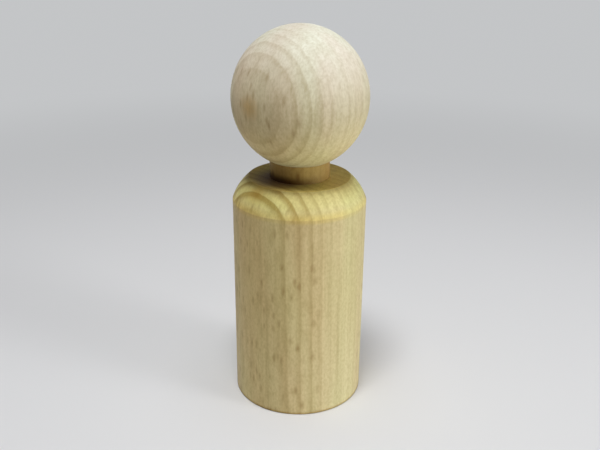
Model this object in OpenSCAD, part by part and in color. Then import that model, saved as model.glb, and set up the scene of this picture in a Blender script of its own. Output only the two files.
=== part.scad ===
// Wooden peg doll with a ball head on a short straight neck.
// Three pieces of plain beech: a turned body, a neck dowel glued into it, and a ball
// glued on top of the dowel. Millimetres, +Z up, origin at the centre of the flat base.

/* [Body] */
// Diameter of the turned body
body_d = 35; // [30:0.5:60]
// Height of the straight side, from the base to the shoulder's lower edge
side_h = 56; // [30:0.5:120]
// Height of the shoulder, from its lower edge to the flat top
shoulder_h = 6; // [4:0.5:12]
// Diameter of the flat top that the shoulder ends in
flat_top_d = 26.6; // [22:0.2:28]
// How far the shoulder swells out beyond a straight cone
shoulder_bulge = 0.5; // [0.1:0.05:0.8]
// Radius of the sanded edge around the base
base_round = 0.4; // [0.2:0.1:1.5]
// Radius of the sanded edges below and above the shoulder
shoulder_round = 0.5; // [0.1:0.05:0.8]

/* [Neck] */
// Diameter of the neck dowel
neck_d = 15.6; // [10:0.2:18]
// Height of neck that shows between the flat top and the ball
neck_show_h = 4.5; // [2:0.1:15]
// Chamfer on both ends of the dowel
dowel_chamfer = 0.8; // [0.2:0.1:1.5]

/* [Head] */
// Diameter of the ball at its widest
head_d = 34.8; // [30:0.2:50]
// Height of the ball from its lowest point, if it had no bore, to its top
head_h = 35.8; // [30:0.2:50]

/* [Joints] */
// Depth of the blind bore in the body's flat top
body_bore_depth = 16; // [8:0.5:25]
// Depth of the blind bore in the ball, from where the ball meets the dowel
head_bore_depth = 13; // [8:0.5:18]
// Room for glue between the dowel and the wall of each bore
glue_gap = 0.05; // [0.03:0.01:0.1]

/* [Hidden] */
$fn = 128;
// How far a bore's cutter runs out of its mouth
overrun = 1;
// Steps along the shoulder's curve, each rounded edge and the ball from bottom to top
shoulder_steps = 12;
round_steps = 6;
ball_steps = 60;

body_r = body_d / 2;
flat_top_r = flat_top_d / 2;
neck_r = neck_d / 2;
head_r = head_d / 2;
bore_r = neck_r + glue_gap;
flat_top_z = side_h + shoulder_h;
ball_meets_neck_z = flat_top_z + neck_show_h;
head_centre_z = ball_meets_neck_z + head_h / 2 * sqrt(1 - pow(neck_r / head_r, 2));
dowel_low_z = flat_top_z - body_bore_depth;
dowel_high_z = ball_meets_neck_z + head_bore_depth;

function unit(v) = v / norm(v);

// Points of the arc that rounds the corner at q, tangent to its edges towards p and s
function rounded_corner(p, q, s, r) =
    let (
        to_p = unit(p - q),
        to_s = unit(s - q),
        half = acos(to_p * to_s) / 2,
        centre = q + unit(to_p + to_s) * r / sin(half),
        start = q + to_p * r / tan(half) - centre,
        finish = q + to_s * r / tan(half) - centre,
        start_angle = atan2(start.y, start.x),
        turn = atan2(start.x * finish.y - start.y * finish.x, start * finish)
    )
    [for (i = [0:round_steps])
        let (a = start_angle + turn * i / round_steps)
        centre + r * [cos(a), sin(a)]];

// The shoulder: a straight line from its lower edge to the flat top, swollen by a parabola
function shoulder_point(t) =
    let (
        low = [body_r, side_h],
        high = [flat_top_r, flat_top_z],
        along = unit(high - low),
        outward = [along.y, -along.x]
    )
    low + (high - low) * t + outward * shoulder_bulge * 4 * t * (1 - t);

// Half outline of the body, from the middle of the base round to the middle of the flat top
function body_outline() =
    let (
        first = shoulder_point(1 / shoulder_steps),
        last = shoulder_point(1 - 1 / shoulder_steps),
        base_edge = [body_r, 0],
        low_edge = [body_r, side_h],
        high_edge = [flat_top_r, flat_top_z]
    )
    concat(
        [[0, 0]],
        rounded_corner([0, 0], base_edge, low_edge, base_round),
        rounded_corner(base_edge, low_edge, first, shoulder_round),
        [for (i = [1:shoulder_steps - 1]) shoulder_point(i / shoulder_steps)],
        rounded_corner(last, high_edge, [0, flat_top_z], shoulder_round),
        [[0, flat_top_z]]
    );

// The turned body: straight side, slightly swollen shoulder, flat top with a blind bore
module body() {
    color("burlywood")
    difference() {
        rotate_extrude() polygon(body_outline());
        translate([0, 0, dowel_low_z])
            cylinder(r = bore_r, h = body_bore_depth + overrun);
    }
}

// The dowel: it stands on the floor of the body's bore and carries the floor of the ball's
module neck_dowel() {
    color("tan")
    rotate_extrude()
        polygon([
            [0, dowel_low_z],
            [neck_r - dowel_chamfer, dowel_low_z],
            [neck_r, dowel_low_z + dowel_chamfer],
            [neck_r, dowel_high_z - dowel_chamfer],
            [neck_r - dowel_chamfer, dowel_high_z],
            [0, dowel_high_z]
        ]);
}

// Half outline of the ball: half an ellipse, a little taller than it is wide
function ball_outline() =
    [for (i = [0:ball_steps])
        let (a = 180 * i / ball_steps)
        [head_r * sin(a), head_centre_z - head_h / 2 * cos(a)]];

// The head: the turned ball with a blind bore up from below
module head() {
    color("wheat")
    difference() {
        rotate_extrude() polygon(ball_outline());
        translate([0, 0, ball_meets_neck_z - neck_show_h])
            cylinder(r = bore_r, h = neck_show_h + head_bore_depth);
    }
}

body();
neck_dowel();
head();
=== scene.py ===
"""A plain beech peg doll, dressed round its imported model: body, neck dowel and ball head."""

import math

import bpy
import numpy as np
from mathutils import Matrix, Vector


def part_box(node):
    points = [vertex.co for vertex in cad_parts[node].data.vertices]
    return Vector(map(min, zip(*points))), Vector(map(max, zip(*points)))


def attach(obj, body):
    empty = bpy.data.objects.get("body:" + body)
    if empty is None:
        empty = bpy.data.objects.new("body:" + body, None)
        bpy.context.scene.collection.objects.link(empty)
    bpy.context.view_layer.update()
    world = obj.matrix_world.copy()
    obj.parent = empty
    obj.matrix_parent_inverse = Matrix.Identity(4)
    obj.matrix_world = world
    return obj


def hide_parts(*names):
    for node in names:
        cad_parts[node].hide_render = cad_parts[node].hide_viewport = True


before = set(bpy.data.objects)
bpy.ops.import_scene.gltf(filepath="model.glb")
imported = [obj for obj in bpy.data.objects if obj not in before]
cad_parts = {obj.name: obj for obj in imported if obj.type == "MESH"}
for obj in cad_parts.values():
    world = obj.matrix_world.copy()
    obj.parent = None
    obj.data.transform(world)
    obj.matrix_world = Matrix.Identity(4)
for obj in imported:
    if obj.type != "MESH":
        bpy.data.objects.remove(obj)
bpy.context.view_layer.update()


# The body
# A beech round turned on a lathe: a straight side, a sloping shoulder that swells slightly,
# and a flat top with a blind bore for the neck. It was sanded and left bare, so the wood
# shows flat-sawn at the front left, quarter-sawn at the front right, end grain on the slopes.

MM = 0.001
body_low, body_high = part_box("body")
dowel_low, dowel_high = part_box("neck_dowel")
body_radius = body_high.x
flat_top_z = body_high.z
flat_top_radius = 13.3 * MM
shoulder_height = 6 * MM
shoulder_bulge = 0.5 * MM
shoulder_round = 0.5 * MM
base_round = 0.4 * MM
neck_radius = dowel_high.x
bore_radius = neck_radius + 0.05 * MM
mesh_step = 0.4 * MM
corner_gap = 0.02 * MM


def straight(start, end, step, crisp=0.0):
    """Points from start up to, but without, end, evenly spaced about a step apart.

    With crisp, one more point lies that close to the end, which keeps the corner there sharp."""
    start, end = np.array(start, float), np.array(end, float)
    length = np.linalg.norm(end - start)
    share = np.linspace(0, 1, max(1, round(length / step)), endpoint=False)
    if crisp:
        share = np.append(share, 1 - crisp / length)
    return start + share[:, None] * (end - start)


def rounded(before, corner, after, radius, count=10):
    """The arc that rounds a corner, touching the lines to the points before and after it.

    The arc's centre lies on the corner's bisector, radius / sin(half the corner's angle) away."""
    before, corner, after = (np.array(p, float) for p in (before, corner, after))
    back = (before - corner) / np.linalg.norm(before - corner)
    on = (after - corner) / np.linalg.norm(after - corner)
    half = math.acos(back @ on) / 2
    middle = (back + on) / np.linalg.norm(back + on)
    centre = corner + middle * radius / math.sin(half)
    first = corner + back * radius / math.tan(half) - centre
    last = corner + on * radius / math.tan(half) - centre
    turn = math.atan2(first[0] * last[1] - first[1] * last[0], first @ last)
    angle = math.atan2(first[1], first[0]) + turn * np.linspace(0, 1, count)
    return centre + radius * np.stack([np.cos(angle), np.sin(angle)], axis=1)


def shoulder_curve(low, high, bulge, count=40):
    """A straight slope from low to high, swollen outwards by bulge * 4 t (1 - t)."""
    low, high = np.array(low, float), np.array(high, float)
    t = np.linspace(0, 1, count)[:, None]
    along = (high - low) / np.linalg.norm(high - low)
    outward = np.array([along[1], -along[0]])
    return low + (high - low) * t + outward * bulge * 4 * t * (1 - t)


# The outline runs from the middle of the base up the side and over the shoulder, then down
# the bore to the middle of its floor. The roundings replace the shoulder's outermost points.
base_edge = (body_radius, body_low.z)
low_edge = (body_radius, flat_top_z - shoulder_height)
high_edge = (flat_top_radius, flat_top_z)
shoulder = shoulder_curve(low_edge, high_edge, shoulder_bulge)[3:-3]
base_arc = rounded((0, body_low.z), base_edge, low_edge, base_round)
low_arc = rounded(base_edge, low_edge, shoulder[0], shoulder_round)
high_arc = rounded(shoulder[-1], high_edge, (0, flat_top_z), shoulder_round)
bore_edge = (bore_radius, flat_top_z)
bore_start = (bore_radius, flat_top_z - corner_gap)
bore_corner = (bore_radius, dowel_low.z)
bore_floor = (0, dowel_low.z)
body_outline = np.concatenate([
    straight((0, body_low.z), base_arc[0], mesh_step),
    base_arc,
    straight(base_arc[-1], low_arc[0], mesh_step)[1:],
    low_arc,
    shoulder,
    high_arc,
    straight(high_arc[-1], bore_edge, mesh_step, corner_gap)[1:],
    straight(bore_edge, bore_start, mesh_step),
    straight(bore_start, bore_corner, mesh_step),
    straight(bore_corner, bore_floor, mesh_step),
    [bore_floor],
])

# The log's pith stood upright, far away to the front left.
PITH_DISTANCE = 220 * MM
PITH_ANGLE = math.radians(-133.5)
pith = PITH_DISTANCE * np.array([math.cos(PITH_ANGLE), math.sin(PITH_ANGLE)])


def ring_points(radii, heights, around):
    """One ring for each radius r and height z: the points (r cos a, r sin a, z), a evenly spaced."""
    angle = np.arange(around) * 2 * math.pi / around
    radii, heights = np.reshape(radii, (-1, 1)), np.reshape(heights, (-1, 1))
    rings = [radii * np.cos(angle), radii * np.sin(angle), np.repeat(heights, around, axis=1)]
    return np.stack(rings, axis=2).reshape(-1, 3)


def ring_quads(rings, around):
    """Faces of four corners: two neighbouring points of one ring and the same two of the next."""
    row, column = np.meshgrid(np.arange(rings - 1), np.arange(around), indexing="ij")
    beside = (column + 1) % around
    corners = [
        row * around + column, row * around + beside,
        (row + 1) * around + beside, (row + 1) * around + column,
    ]
    return np.stack(corners, axis=-1).reshape(-1, 4)


def new_object(name, data):
    """An object at the origin, added to the scene."""
    made = bpy.data.objects.new(name, data)
    bpy.context.scene.collection.objects.link(made)
    return made


def turned(name, outline, around=288):
    """A solid of revolution: every outline point (r, z) becomes the ring (r cos a, r sin a, z).

    The outline starts and ends on the axis, where a fan of triangles closes the surface. Each
    vertex keeps how its surface cuts the wood: end_grain is the normal's z squared, and
    flat_sawn is the square of the normal's share along the line from the pith."""
    inner = outline[1:-1]
    poles = [[0, 0, outline[0, 1]], [0, 0, outline[-1, 1]]]
    points = np.concatenate([ring_points(inner[:, 0], inner[:, 1], around), poles])
    first_pole = np.full(around, len(points) - 2)
    last_pole = np.full(around, len(points) - 1)
    column = np.arange(around)
    beside = (column + 1) % around
    last_ring = (len(inner) - 1) * around
    fans = np.concatenate([
        np.stack([first_pole, beside, column], axis=1),
        np.stack([last_pole, last_ring + column, last_ring + beside], axis=1),
    ])

    mesh = bpy.data.meshes.new(name)
    mesh.from_pydata(points, [], ring_quads(len(inner), around).tolist() + fans.tolist())
    mesh.shade_smooth()
    mesh.update()

    normals = np.zeros(len(points) * 3)
    mesh.vertex_normals.foreach_get("vector", normals)
    normals = normals.reshape(-1, 3)
    from_pith = points[:, :2] - pith
    from_pith /= np.linalg.norm(from_pith, axis=1, keepdims=True)
    cuts = {
        "end_grain": normals[:, 2] ** 2,
        "flat_sawn": (normals[:, :2] * from_pith).sum(axis=1) ** 2,
    }
    for label, values in cuts.items():
        attribute = mesh.attributes.new(label, "FLOAT", "POINT")
        attribute.data.foreach_set("value", values.astype(np.float32))
    return new_object(name, mesh)


body = turned("turned_body", body_outline)


class Wire:
    """One output of a shader node. Sums on wires add Math nodes, and node() adds any other."""

    def __init__(self, tree, socket=None):
        self.tree = tree
        self.socket = socket

    def node(self, kind, settings=None, inputs=None, output=0):
        """Adds a node: its settings first, then the values or wires of its sockets."""
        made = self.tree.nodes.new(kind)
        for key, value in (settings or {}).items():
            setattr(made, key, value)
        for key, value in (inputs or {}).items():
            if isinstance(value, Wire):
                self.tree.links.new(value.socket, made.inputs[key])
            else:
                made.inputs[key].default_value = value
        return Wire(self.tree, made.outputs[output]) if made.outputs else None

    def also(self, output):
        """Another output of the same node."""
        return Wire(self.tree, self.socket.node.outputs[output])

    def math(self, operation, *others):
        """A Math node that takes this wire first."""
        inputs = dict(enumerate([self, *others]))
        return self.node("ShaderNodeMath", {"operation": operation}, inputs)

    def reflected(self, operation, other):
        """A Math node that takes this wire second, as in 1 - mask."""
        return self.node("ShaderNodeMath", {"operation": operation}, {0: other, 1: self})

    def __add__(self, other):
        return self.math("ADD", other)

    def __radd__(self, other):
        return self.reflected("ADD", other)

    def __sub__(self, other):
        return self.math("SUBTRACT", other)

    def __rsub__(self, other):
        return self.reflected("SUBTRACT", other)

    def __mul__(self, other):
        return self.math("MULTIPLY", other)

    def __rmul__(self, other):
        return self.reflected("MULTIPLY", other)

    def __truediv__(self, other):
        return self.math("DIVIDE", other)

    def __rtruediv__(self, other):
        return self.reflected("DIVIDE", other)

    def step(self, low, high):
        """0 below low, 1 above high, and a smooth rise between them."""
        settings = {"interpolation_type": "SMOOTHSTEP"}
        return self.node("ShaderNodeMapRange", settings, {0: self, 1: low, 2: high})

    def between(self, low, high, still_high, low_again):
        """0 below low, a smooth rise to 1 at high, and a fall from still_high to low_again."""
        return self.step(low, high) * (1 - self.step(still_high, low_again))

    def parts(self):
        """The x, y and z of a vector."""
        x = self.node("ShaderNodeSeparateXYZ", {}, {0: self})
        return x, x.also("Y"), x.also("Z")

    def colours(self, first, second):
        """The first colour where this wire is 0, the second where it is 1, and a mix between.

        A Mix node has its colours at sockets 6 and 7, and the mixed colour is its output 2."""
        inputs = {0: self, 6: (*first, 1), 7: (*second, 1)}
        return self.node("ShaderNodeMix", {"data_type": "RGBA"}, inputs, 2)

    def tinted(self, tint, amount):
        """This colour multiplied by a tint, by an amount from 0 to 1."""
        settings = {"data_type": "RGBA", "blend_type": "MULTIPLY"}
        return self.node("ShaderNodeMix", settings, {0: amount, 6: self, 7: (*tint, 1)}, 2)


def clear_nodes(owner):
    """Clears the nodes of a new material or world, and gives the wire that they start from."""
    owner.use_nodes = True
    owner.node_tree.nodes.clear()
    return Wire(owner.node_tree)


# Ring sizes are in millimetres, measured out from the pith. The wood's own colour lies between
# PALE_WOOD and PINK_WOOD, and the colours after these are tints that multiply it.
RING_WIDTH = 2.43
FIRST_RING = 203.8
RING_LEAN = 0.012
FAINTER_RINGS = (209, 217)
PALE_WOOD = (0.715, 0.646, 0.340)
PINK_WOOD = (0.715, 0.598, 0.322)
WARM_FACE = (1.0, 0.90, 0.81)
END_WOOD = (1.12, 1.30, 1.0)
# Square-cut end grain's tint: partly its own tone, partly painted light that brightens the flat top.
SQUARE_CUT_AND_LIGHT = (1.30, 1.23, 0.96)
LATE_WOOD = (0.66, 0.57, 0.42)
SHADE_WOOD = (0.84, 0.81, 0.74)
RAY_BROWN = (0.59, 0.47, 0.34)
RAY_SILK = (1.07, 1.08, 1.10)
PORE_DEPTH = 0.03 * MM


def beech(name, own_tints, open_grain=1.0, faint_lines=None):
    """Bare sanded beech, worked out in the log's own directions, with a piece's own tints.

    In millimetres, across is the distance from the pith, along_ring the distance round it and
    z the height. Rings repeat across, fibres run up z, and rays are thin upright sheets that
    run across, so one solid pattern shows lines, flecks or stripes as each surface cuts it.
    Less open_grain is wood that was sanded finer. Between the two heights of faint_lines the
    rings' lines grow fainter."""
    material = bpy.data.materials.new(name)
    start = clear_nodes(material)
    place = start.node("ShaderNodeTexCoord", output="Object")
    place = start.node("ShaderNodeVectorMath", {"operation": "SCALE"}, {0: place, "Scale": 1 / MM})
    x, y, z = place.parts()
    east = x - pith[0] / MM
    north = y - pith[1] / MM
    across = (east * east + north * north).math("SQRT") + z * RING_LEAN
    along_ring = north.math("ARCTAN2", east) * (PITH_DISTANCE / MM)

    def stretched(across_size, ring_size, z_size):
        """The place in the log, measured in steps of these sizes in millimetres."""
        inputs = {0: across / across_size, 1: along_ring / ring_size, 2: z / z_size}
        return start.node("ShaderNodeCombineXYZ", {}, inputs)

    def noise(sizes, detail=2.0, rough=0.5):
        """A soft pattern from 0 to 1 whose lumps have about these sizes."""
        inputs = {"Vector": stretched(*sizes), "Scale": 1.0, "Detail": detail, "Roughness": rough}
        return start.node("ShaderNodeTexNoise", {}, inputs)

    def cells(sizes):
        """Distance to the nearest of a set of scattered points, and that point's own number."""
        inputs = {"Vector": stretched(*sizes), "Scale": 1.0, "Randomness": 1.0}
        distance = start.node("ShaderNodeTexVoronoi", {}, inputs)
        return distance, start.node("ShaderNodeSeparateColor", {}, {0: distance.also("Color")})

    # How the surface cuts the log: slope is where the fibres' ends show, face is upright wood
    # in which the rays end, and side_on is where one ring lies flat in the surface.
    tilt = start.node("ShaderNodeAttribute", {"attribute_name": "end_grain"}, output="Fac")
    flat_sawn = start.node("ShaderNodeAttribute", {"attribute_name": "flat_sawn"}, output="Fac")
    end_grain = tilt * open_grain
    slope = end_grain.step(0.03, 0.33)
    face = flat_sawn.step(0.02, 0.40) * (1 - tilt.step(0.12, 0.45))
    side_on = flat_sawn.step(0.6, 0.95) * (1 - slope)

    # The rings waver. Each year's growth runs from 0 to 1 and is dark near its end, in some
    # years more than in others, and boldest on the side of the pith and on the shoulder.
    waver = (noise((14, 9, 60)) - 0.5) * 0.9 + (noise((10, 4, 12)) - 0.5) * 0.5
    season = ((across + waver - FIRST_RING) / RING_WIDTH).math("FRACT")
    late = season.between(0.30, 0.86, 0.86, 1.0)
    year = noise((1.6, 60, 200), 0.0)
    distinct = 1 - across.step(*FAINTER_RINGS) * 0.65
    boldness = 0.35 + year * 0.25 + slope * (0.25 + flat_sawn.step(0.15, 0.60) * 0.72)
    lines = late * distinct * boldness * (1 - side_on * 0.85)
    if faint_lines:
        lines = lines * (1 - z.step(*faint_lines) * 0.3)

    # The rays, and changes of shade from the size of a pore up to broad upright bands.
    ray_distance, ray_number = cells((60, 1.6, 4.6))
    ray = (1 - ray_distance.step(0.0, 0.42)) * ray_number.step(0.0, 0.7)
    mottle = noise((0.6, 0.5, 0.9), 2.0)
    fibre = noise((0.30, 0.34, 12.0), 3.0, 0.6)
    streak = noise((0.9, 1.1, 30.0), 2.0)
    band = noise((3.0, 3.6, 80.0), 1.0)
    smudge = noise((6.0, 2.0, 6.0), 1.0)
    patch = noise((9, 12, 50), 1.0)

    colour = patch.step(0.3, 0.7).colours(PALE_WOOD, PINK_WOOD)
    tints = [
        (WARM_FACE, flat_sawn),
        (END_WOOD, slope * (0.50 + flat_sawn * 0.50)),
        # Partly end grain's own tone, partly painted light on the flat top.
        (SQUARE_CUT_AND_LIGHT, end_grain.step(0.6, 0.95)),
        (LATE_WOOD, lines),
        (SHADE_WOOD, band.step(0.35, 0.65) * 0.28),
        (SHADE_WOOD, streak.step(0.40, 0.75) * 0.5),
        (SHADE_WOOD, fibre.step(0.45, 0.75) * 0.3),
        (SHADE_WOOD, mottle.step(0.35, 0.70) * 0.6),
        (SHADE_WOOD, smudge.step(0.45, 0.70) * face * 0.5),
        (RAY_BROWN, ray * face * 0.85),
        (RAY_SILK, ray * (1 - face) * (1 - slope) * 0.6),
    ]
    for tint, amount in tints + own_tints(place, patch, mottle):
        colour = colour.tinted(tint, amount)

    height = fibre * 0.5 + mottle * 0.3 + ray * 0.3 + late * 0.2
    inputs = {"Strength": 0.35, "Distance": PORE_DEPTH, "Height": height}
    bump = start.node("ShaderNodeBump", {}, inputs)
    rough = 0.52 - ray * 0.06 + fibre * 0.10
    shader = start.node("ShaderNodeBsdfPrincipled", {}, {
        "Base Color": colour, "Roughness": rough, "Normal": bump, "Specular IOR Level": 0.15,
        "Sheen Weight": 0.07, "Sheen Roughness": 0.4,
    })
    start.node("ShaderNodeOutputMaterial", {}, {"Surface": shader})
    return material


FOOT_WOOD = (1.06, 1.10, 1.16)
# Painted contact shade along the base's rim, where the doll meets the floor.
BASE_RIM_SHADE = (0.72, 0.60, 0.42)
SHOULDER_EDGE = (1.07, 1.04, 0.76)
# Painted shade from the head: on the shoulder's upper slope, then darker on its top edge and the
# flat top.
SLOPE_TOP_SHADE = (0.97, 0.93, 0.86)
TOP_EDGE_SHADE = (0.82, 0.76, 0.66)
# Painted shade round the neck's foot, darkest at the front left, where the head and neck shade the
# flat top.
NECK_SHADE = (0.20, 0.12, 0.035)
NECK_SHADE_MIDDLE = (-4.0, -3.0)
MARK_BROWN = (0.84, 0.66, 0.42)
SLOPE_MARK = (-10.5, -10.1, 60.5)
shoulder_mm = (flat_top_z - shoulder_height) / MM
top_mm = flat_top_z / MM


# Where shade is painted round the neck's foot, cast by the head and neck.
def neck_foot_shade(x, y, z):
    """1 at the front left of the neck's foot, falling to 0 at 12.5 mm from there, and to 0
    a little way down the shoulder and up the neck."""
    sideways = x - NECK_SHADE_MIDDLE[0]
    forwards = y - NECK_SHADE_MIDDLE[1]
    away = (sideways * sideways + forwards * forwards).math("SQRT")
    low_down = z.between(top_mm - 2.5, top_mm - 0.1, top_mm + 0.3, top_mm + 2.4)
    return (1 - away.step(3.5, 12.5)) * low_down


def mark(place, mottle, middle, radius):
    """1 at the middle of a stain, falling to 0 at its mottled edge, all in millimetres."""
    inputs = {0: place, 1: middle}
    away = place.node("ShaderNodeVectorMath", {"operation": "DISTANCE"}, inputs, "Value")
    return 1 - (away + (mottle - 0.5) * 3).step(0.2, radius)


def body_tints(place, patch, mottle):
    """Tints and their amounts: a paler foot, painted contact shade at the base's rim, the golden
    line of the shoulder's lower edge, painted shade from the head on the shoulder's top and the
    flat top, painted shade round the neck's foot and a brown patch on the left of the shoulder."""
    x, y, z = place.parts()
    edge = z.between(shoulder_mm - 1.4, shoulder_mm - 0.2, shoulder_mm + 0.2, shoulder_mm + 2.0)
    return [
        (FOOT_WOOD, 1 - z.step(2, 38)),
        # Painted contact shade at the base's rim.
        (BASE_RIM_SHADE, 1 - z.step(0.2, 1.0)),
        (SHOULDER_EDGE, edge * (0.1 + patch * 1.2)),
        # Painted shade from the head on the shoulder's upper slope.
        (SLOPE_TOP_SHADE, z.between(top_mm - 3.5, top_mm - 0.5, top_mm - 0.2, top_mm)),
        # Painted shade from the head on the shoulder's top edge and the whole flat top.
        (TOP_EDGE_SHADE, z.between(top_mm - 1.1, top_mm - 0.2, top_mm + 0.01, top_mm + 0.05)),
        # Painted shade round the neck's foot.
        (NECK_SHADE, neck_foot_shade(x, y, z)),
        # A mottled brown patch high on the shoulder's front left.
        (MARK_BROWN, mark(place, mottle, SLOPE_MARK, 3.6) * 0.7),
    ]


body.data.materials.append(beech("bare_beech", body_tints))
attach(body, "root")
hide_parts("body")


# The neck dowel
# A short length of straight beech dowel with chamfered ends, glued into the body's bore and
# the ball's. Its grain runs up and down like theirs, and 4.5 mm of it shows as the neck. Its
# colour is darkened by painted shade from the head, with more painted shade round its foot.

dowel_chamfer = 0.8 * MM
# Painted shade from the head, darkening the whole dowel.
DOWEL_SHADE = (0.63, 0.50, 0.29)
dowel_corners = [
    (0, dowel_low.z),
    (neck_radius - dowel_chamfer, dowel_low.z),
    (neck_radius, dowel_low.z + dowel_chamfer),
    (neck_radius, dowel_high.z - dowel_chamfer),
    (neck_radius - dowel_chamfer, dowel_high.z),
    (0, dowel_high.z),
]
dowel_sides = zip(dowel_corners, dowel_corners[1:])
dowel_outline = np.concatenate([
    *(straight(start, end, mesh_step) for start, end in dowel_sides),
    [dowel_corners[-1]],
])
neck = turned("neck_dowel_wood", dowel_outline, around=192)


def neck_tints(place, patch, mottle):
    """Tints and their amounts: painted shade darkening it all over, and more at the foot."""
    x, y, z = place.parts()
    # Painted shade from the head all over, and more round the foot.
    return [(DOWEL_SHADE, 1.0), (NECK_SHADE, neck_foot_shade(x, y, z))]


neck.data.materials.append(beech("dowel_beech", neck_tints))
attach(neck, "root")
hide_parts("neck_dowel")


# The head
# A turned beech ball, a little taller than it is wide, with a blind bore from below. It is
# pushed down over the glued dowel until the dowel's end meets the bore's floor. It is sanded
# finer than the body and has a brown stain at the left. A painted highlight whitens its crown.

head_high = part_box("head")[1]
head_radius = head_high.x
head_half_height = 17.9 * MM
head_centre_z = head_high.z - head_half_height
PALE_BALL = (0.98, 0.98, 0.94)
# Painted highlight: the ball whitens towards its crown, where the overhead lamp falls.
CROWN_HIGHLIGHT = (1.05, 1.18, 2.0)
CROWN_HEIGHTS = (68, 98)
FINER_SANDING = 0.05
BALL_MARK = (-12.2, -12.4, 82.5)
ball_points = 150
mouth_angle = math.asin(bore_radius / head_radius)
ball_angle = np.linspace(mouth_angle, math.pi, ball_points)
ball = np.stack([
    head_radius * np.sin(ball_angle),
    head_centre_z - head_half_height * np.cos(ball_angle),
], axis=1)
ball[-1, 0] = 0
head_floor = (0, dowel_high.z)
head_corner = (bore_radius, dowel_high.z)
head_outline = np.concatenate([
    straight(head_floor, head_corner, mesh_step),
    straight(head_corner, ball[0], mesh_step, corner_gap),
    ball,
])
head = turned("ball_head", head_outline)


def ball_tints(place, patch, mottle):
    """Tints and their amounts: a shade paler, a painted highlight at the crown, and the brown stain.
    """
    z = place.parts()[2]
    return [
        (PALE_BALL, 1.0),
        # Painted highlight towards the crown.
        (CROWN_HIGHLIGHT, z.step(*CROWN_HEIGHTS)),
        (MARK_BROWN, mark(place, mottle, BALL_MARK, 4.2) * 0.75),
    ]


head.data.materials.append(beech("ball_beech", ball_tints, FINER_SANDING, CROWN_HEIGHTS))
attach(head, "root")
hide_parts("head")


# The floor and backdrop
# A wide round sheet of plain pale paper. Towards its rim it takes on the backdrop's grey, for
# the camera alone, so that no edge shows from any side.

FLOOR_RADIUS = 1.5
FLOOR_RINGS = 40
FLOOR_AROUND = 96
PAPER_WHITE = (0.78, 0.78, 0.785)
PAPER_SEEN = (0.745, 0.75, 0.765)
BACKDROP_GREY = (0.55, 0.56, 0.57)
GREY_FROM = 0.10
GREY_BY = 0.42
floor_radii = np.linspace(1, 0, FLOOR_RINGS) ** 2 * FLOOR_RADIUS
floor_points = ring_points(floor_radii, np.zeros(FLOOR_RINGS), FLOOR_AROUND)
floor_mesh = bpy.data.meshes.new("floor")
floor_mesh.from_pydata(floor_points, [], ring_quads(FLOOR_RINGS, FLOOR_AROUND).tolist())
floor = new_object("floor", floor_mesh)


def seen_directly(start):
    """1 for what the camera sees, also mirrored or through glass, and 0 for what lights the doll."""
    rays = start.node("ShaderNodeLightPath", output="Is Camera Ray")
    seen = rays + rays.also("Is Glossy Ray") + rays.also("Is Transmission Ray")
    return seen.math("MINIMUM", 1)


paper = bpy.data.materials.new("pale_paper")
sheet = clear_nodes(paper)
ground = sheet.node("ShaderNodeTexCoord", output="Object")
distance = sheet.node("ShaderNodeVectorMath", {"operation": "LENGTH"}, {0: ground}, "Value")
to_camera = seen_directly(sheet)
shown = to_camera.colours(PAPER_WHITE, PAPER_SEEN)
matt = sheet.node("ShaderNodeBsdfDiffuse", {}, {"Color": shown})
haze = sheet.node("ShaderNodeEmission", {}, {"Color": (*BACKDROP_GREY, 1)})
far = distance.step(GREY_FROM, GREY_BY) * to_camera
mixed = sheet.node("ShaderNodeMixShader", {}, {0: far, 1: matt, 2: haze})
sheet.node("ShaderNodeOutputMaterial", {}, {"Surface": mixed})
floor.data.materials.append(paper)


# The camera and the lights
# The camera stands where the photograph's did. One big soft lamp hangs overhead, one shines
# from high up at the front and one from low on the right. Two weak ones and a dim sky fill in.

CAMERA_PLACE = (0.0002, -0.1883, 0.1240)
CAMERA_LOOKS_DOWN = math.radians(21.983)
CAMERA_ROLL = math.radians(0.493)
camera_data = bpy.data.cameras.new("camera")
camera_data.lens = 45.67
camera_data.sensor_width = 36
camera_data.clip_start = 0.01
camera = new_object("camera", camera_data)
camera.matrix_world = (
    Matrix.Translation(CAMERA_PLACE)
    @ Matrix.Rotation(math.radians(90) - CAMERA_LOOKS_DOWN, 4, "X")
    @ Matrix.Rotation(CAMERA_ROLL, 4, "Z")
)
bpy.context.scene.camera = camera

LAMP_DISTANCE = 0.6
LAMP_TARGET = Vector((0, 0, 0.06))
DIM_SKY = (0.02, 0.02, 0.02)


def soft_lamp(name, elevation, azimuth, power, size=0.15):
    """A square area lamp in a direction from the doll's middle, in degrees, shining at it."""
    data = bpy.data.lights.new(name, "AREA")
    data.size = size
    data.energy = power
    up, turn = math.radians(elevation), math.radians(azimuth)
    level = math.cos(up)
    towards = Vector((level * math.cos(turn), level * math.sin(turn), math.sin(up)))
    place = Matrix.Translation(LAMP_TARGET + LAMP_DISTANCE * towards)
    lamp = new_object(name, data)
    lamp.matrix_world = place @ towards.to_track_quat("Z", "Y").to_matrix().to_4x4()


soft_lamp("overhead", 90, 0, 1.3, size=0.3)
soft_lamp("high_front", 76, -106, 2.25)
soft_lamp("low_right", 4, -27, 1.6)
soft_lamp("low_left", 4, -162, 0.1)
soft_lamp("half_right", 32, -20, 0.3)

world = bpy.data.worlds.new("studio")
room = clear_nodes(world)
sky = room.node("ShaderNodeBackground", {}, {"Color": (*DIM_SKY, 1)})
backdrop = room.node("ShaderNodeBackground", {}, {"Color": (*BACKDROP_GREY, 1)})
mixed = room.node("ShaderNodeMixShader", {}, {0: seen_directly(room), 1: sky, 2: backdrop})
room.node("ShaderNodeOutputWorld", {}, {"Surface": mixed})
bpy.context.scene.world = world
bpy.context.scene.view_settings.view_transform = "Standard"
